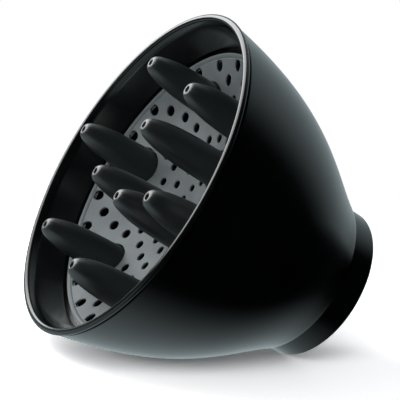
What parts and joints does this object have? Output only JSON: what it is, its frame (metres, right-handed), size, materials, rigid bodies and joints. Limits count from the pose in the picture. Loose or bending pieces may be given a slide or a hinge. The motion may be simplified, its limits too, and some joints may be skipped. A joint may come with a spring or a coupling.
{
  "type": "hair dryer diffuser attachment",
  "caption": "Bell-shaped diffuser that clips on a hair dryer's nozzle, with a perforated dish and hollow fingers that spread the warm air under the hair.",
  "frame": {"origin": "centre of the collar's rear face, where it stands when stored with the bell upwards", "axes": "+Z along the axis, from the collar to the open rim; +X through one outer finger"},
  "size_m": [0.14, 0.14, 0.1086],
  "materials": {
    "bell": "gloss black",
    "collar": "gloss black",
    "rim": "satin black",
    "plate": "satin silver-grey paint on plastic",
    "finger": "matte charcoal",
    "tab": "dull black",
    "inner_plastic": "dull black",
    "screw": "zinc-plated steel"
  },
  "bodies": {
    "collar": {"collar": "collar"},
    "tab_1": {"latch_tab_1": "tab"},
    "tab_2": {"latch_tab_2": "tab"},
    "tab_3": {"latch_tab_3": "tab"},
    "tab_4": {"latch_tab_4": "tab"},
    "bell": {"bell_shell": "bell", "retaining_ring": "inner_plastic", "rim_ring": "rim", "diffuser_plate": "plate", "finger_outer_1": "finger", "finger_outer_2": "finger", "finger_outer_3": "finger", "finger_outer_4": "finger", "finger_outer_5": "finger", "finger_outer_6": "finger", "finger_inner_1": "finger", "finger_inner_2": "finger", "finger_inner_3": "finger", "air_baffle": "inner_plastic", "baffle_screw_1": "screw", "baffle_screw_2": "screw", "baffle_screw_3": "screw", "plate_screw_1": "screw", "plate_screw_2": "screw", "plate_screw_3": "screw"}
  },
  "joints": [
    {"name": "bell_swivel", "type": "hinge", "parent": "collar", "child": "bell", "pos_m": [0, 0, 0.0154], "axis": [0, 0, 1], "continuous": true},
    {"name": "tab_1_flex", "type": "hinge", "parent": "collar", "child": "tab_1", "pos_m": [0.02068, 0.02068, 0.0144], "axis": [0.7071, -0.7071, 0], "range_deg": [0, 5.5], "stiffness_Nm_per_rad": 0.3},
    {"name": "tab_2_flex", "type": "hinge", "parent": "collar", "child": "tab_2", "pos_m": [-0.02068, 0.02068, 0.0144], "axis": [0.7071, 0.7071, 0], "range_deg": [0, 5.5], "stiffness_Nm_per_rad": 0.3},
    {"name": "tab_3_flex", "type": "hinge", "parent": "collar", "child": "tab_3", "pos_m": [-0.02068, -0.02068, 0.0144], "axis": [-0.7071, 0.7071, 0], "range_deg": [0, 5.5], "stiffness_Nm_per_rad": 0.3},
    {"name": "tab_4_flex", "type": "hinge", "parent": "collar", "child": "tab_4", "pos_m": [0.02068, -0.02068, 0.0144], "axis": [-0.7071, -0.7071, 0], "range_deg": [0, 5.5], "stiffness_Nm_per_rad": 0.3}
  ]
}
